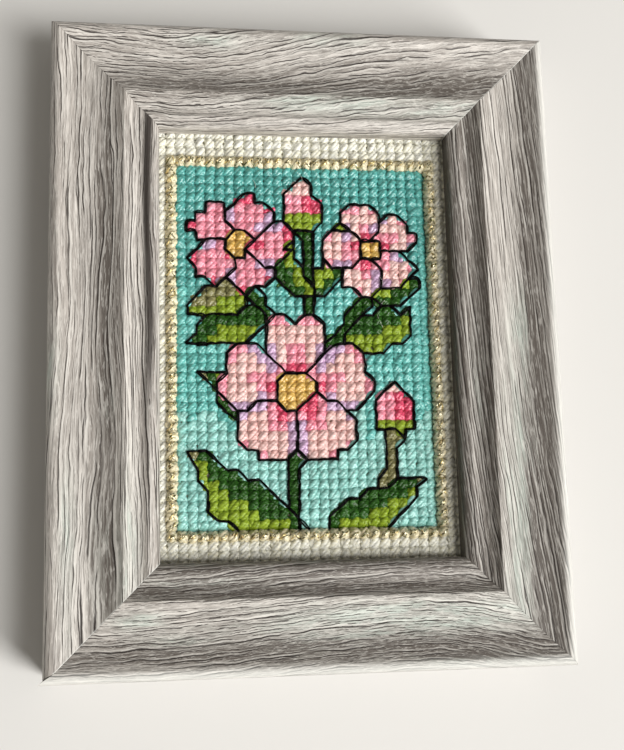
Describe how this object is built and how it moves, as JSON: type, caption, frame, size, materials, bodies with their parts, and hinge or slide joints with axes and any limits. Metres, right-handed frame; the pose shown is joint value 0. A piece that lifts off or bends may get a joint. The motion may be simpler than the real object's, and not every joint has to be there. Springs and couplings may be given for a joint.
{
  "type": "cross-stitch picture in wood frame",
  "caption": "Small rectangular stitched picture, held flat behind the lip of a mitred frame with hollowed mouldings, with a plain board at its back.",
  "frame": {"origin": "middle of the frame's back, on the surface that the picture lies on", "axes": "+X across the picture to its right, +Y towards its top edge, +Z out of its stitched face"},
  "size_m": [0.094, 0.1194, 0.015],
  "materials": {
    "greywashed_wood": "weathered grey-washed grain, matt to satin",
    "stitched_cotton": "stranded cotton cross stitches on even-weave fabric",
    "brown_board": "plain pressed fibre board"
  },
  "bodies": {
    "root": {"frame_rail_bottom": "greywashed_wood", "frame_rail_right": "greywashed_wood", "frame_rail_top": "greywashed_wood", "frame_rail_left": "greywashed_wood", "stitched_cloth": "stitched_cotton", "backing_board": "brown_board"}
  },
  "joints": []
}
